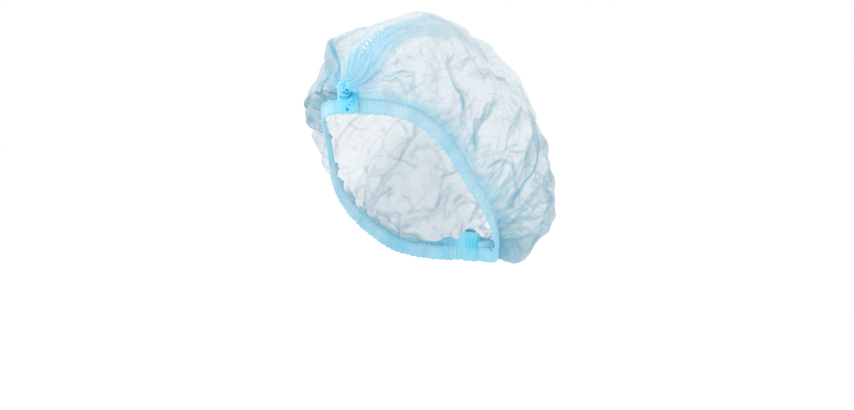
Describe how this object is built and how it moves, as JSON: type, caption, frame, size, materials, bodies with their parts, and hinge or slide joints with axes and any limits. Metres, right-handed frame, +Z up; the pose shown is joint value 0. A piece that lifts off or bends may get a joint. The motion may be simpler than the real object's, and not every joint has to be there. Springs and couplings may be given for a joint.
{
  "type": "disposable hair cap",
  "caption": "Disposable head cover of thin pleated non-woven cloth, gathered on a narrow elastic headband, pressed at forehead and nape.",
  "frame": {"origin": "the top of the wearer's head, where the inside of the crown rests", "axes": "+Z up, the wearer faces -Y, +X is the wearer's left"},
  "size_m": [0.1884, 0.2469, 0.2176],
  "materials": {
    "band_left": "gathered non-woven cloth",
    "band_right": "gathered non-woven cloth",
    "crown": "thin see-through non-woven cloth",
    "front_tab": "pressed non-woven pleats",
    "rear_tab": "pressed non-woven pleats"
  },
  "bodies": {
    "root": {"band_left": "band_left", "band_right": "band_right", "crown": "crown", "front_tab": "front_tab", "rear_tab": "rear_tab"}
  },
  "joints": []
}
